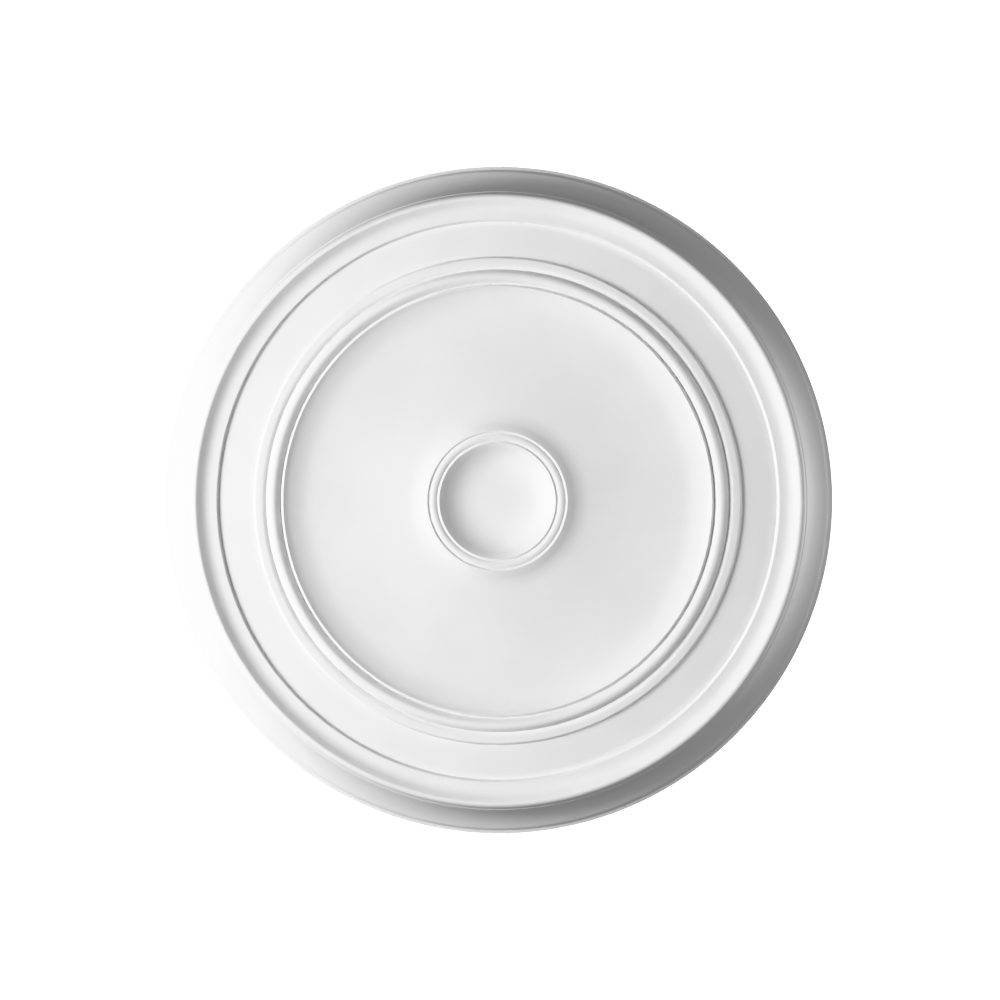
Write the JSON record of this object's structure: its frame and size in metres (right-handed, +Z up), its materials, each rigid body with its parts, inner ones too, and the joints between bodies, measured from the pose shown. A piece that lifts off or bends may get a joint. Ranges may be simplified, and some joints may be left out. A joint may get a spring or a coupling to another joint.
{
  "type": "ceiling rose",
  "caption": "Round moulded ceiling rose: broad plain field between stepped rim mouldings and a ringed, dished centre for a lamp's canopy, with a flat back.",
  "frame": {"origin": "centre of the flat back, in the plane of the ceiling", "axes": "+Z up, out of the back into the ceiling; the moulded face looks down along -Z; the rose is round, so X and Y are any two level directions"},
  "size_m": [0.62, 0.62, 0.06],
  "materials": {
    "primer": "matt white factory primer on rigid moulded foam"
  },
  "bodies": {
    "root": {"ceiling_rose": "primer"}
  },
  "joints": []
}
